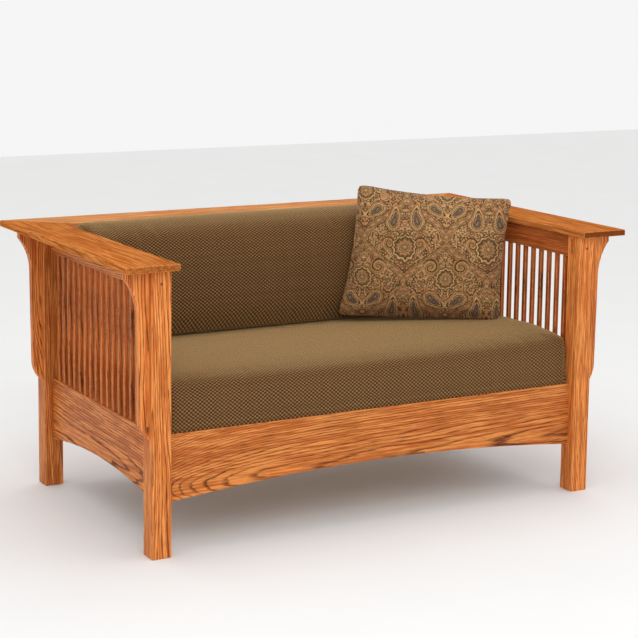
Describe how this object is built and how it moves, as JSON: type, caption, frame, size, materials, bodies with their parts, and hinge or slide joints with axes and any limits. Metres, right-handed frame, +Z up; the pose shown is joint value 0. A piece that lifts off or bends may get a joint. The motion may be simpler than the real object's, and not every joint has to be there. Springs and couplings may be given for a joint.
{
  "type": "mission settle",
  "caption": "Mission settle: oak frame with flat arm and back caps, slatted sides and back, corbelled posts, arched seat rails, loose seat and back cushions and a throw pillow.",
  "frame": {"origin": "on the floor, under the middle of the three caps that bound the settle in plan", "axes": "+X to the right as seen from the front, +Y to the back, +Z up"},
  "size_m": [1.588, 0.931, 0.8792],
  "materials": {
    "oak_posts": "satin, warm brown stain",
    "oak_corbels": "satin, warm brown stain",
    "oak_caps": "satin, warm brown stain",
    "oak_rails": "satin, warm brown stain",
    "oak_slats": "satin, warm brown stain",
    "peg_wood": "dark end grain",
    "tongue_wood": "planed, unstained",
    "deck_wood": "planed, unstained",
    "screw_steel": "zinc plated",
    "cushion_fabric": "woven, small basket weave in olive brown",
    "pillow_fabric": null
  },
  "bodies": {
    "frame": {"front_left_post": "oak_posts", "front_right_post": "oak_posts", "back_left_post": "oak_posts", "back_right_post": "oak_posts", "front_left_corbel": "oak_corbels", "front_right_corbel": "oak_corbels", "back_left_corbel": "oak_corbels", "back_right_corbel": "oak_corbels", "left_arm_cap": "oak_caps", "right_arm_cap": "oak_caps", "back_cap": "oak_caps", "front_seat_rail": "oak_rails", "back_seat_rail": "oak_rails", "left_seat_rail": "oak_rails", "right_seat_rail": "oak_rails", "left_top_rail": "oak_rails", "right_top_rail": "oak_rails", "back_top_rail": "oak_rails", "left_slats": "oak_slats", "right_slats": "oak_slats", "back_slats": "oak_slats", "post_pegs": "peg_wood", "cap_dowels": "peg_wood", "front_cleat": "deck_wood", "back_cleat": "deck_wood", "deck_slat_01": "deck_wood", "deck_slat_02": "deck_wood", "deck_slat_03": "deck_wood", "deck_slat_04": "deck_wood", "deck_slat_05": "deck_wood", "deck_slat_06": "deck_wood", "deck_slat_07": "deck_wood", "deck_slat_08": "deck_wood", "deck_slat_09": "deck_wood", "deck_slat_10": "deck_wood", "deck_slat_11": "deck_wood", "deck_slat_12": "deck_wood", "corbel_tongues": "tongue_wood", "cap_tongues": "tongue_wood", "mitre_splines": "tongue_wood", "cleat_screws": "screw_steel"},
    "seat_cushion_body": {"seat_cushion": "cushion_fabric"},
    "back_cushion_body": {"back_cushion": "cushion_fabric"},
    "pillow_body": {"throw_pillow": "pillow_fabric"}
  },
  "joints": [
    {"name": "seat_cushion_out", "type": "slide", "parent": "frame", "child": "seat_cushion_body", "axis": [0, -0.9659, 0.2588], "range_m": [0, 0.85]},
    {"name": "back_cushion_lift", "type": "slide", "parent": "seat_cushion_body", "child": "back_cushion_body", "axis": [0, 0, 1], "range_m": [0, 0.4]},
    {"name": "pillow_lift", "type": "slide", "parent": "back_cushion_body", "child": "pillow_body", "axis": [0, -0.2588, 0.9659], "range_m": [0, 0.45]}
  ]
}
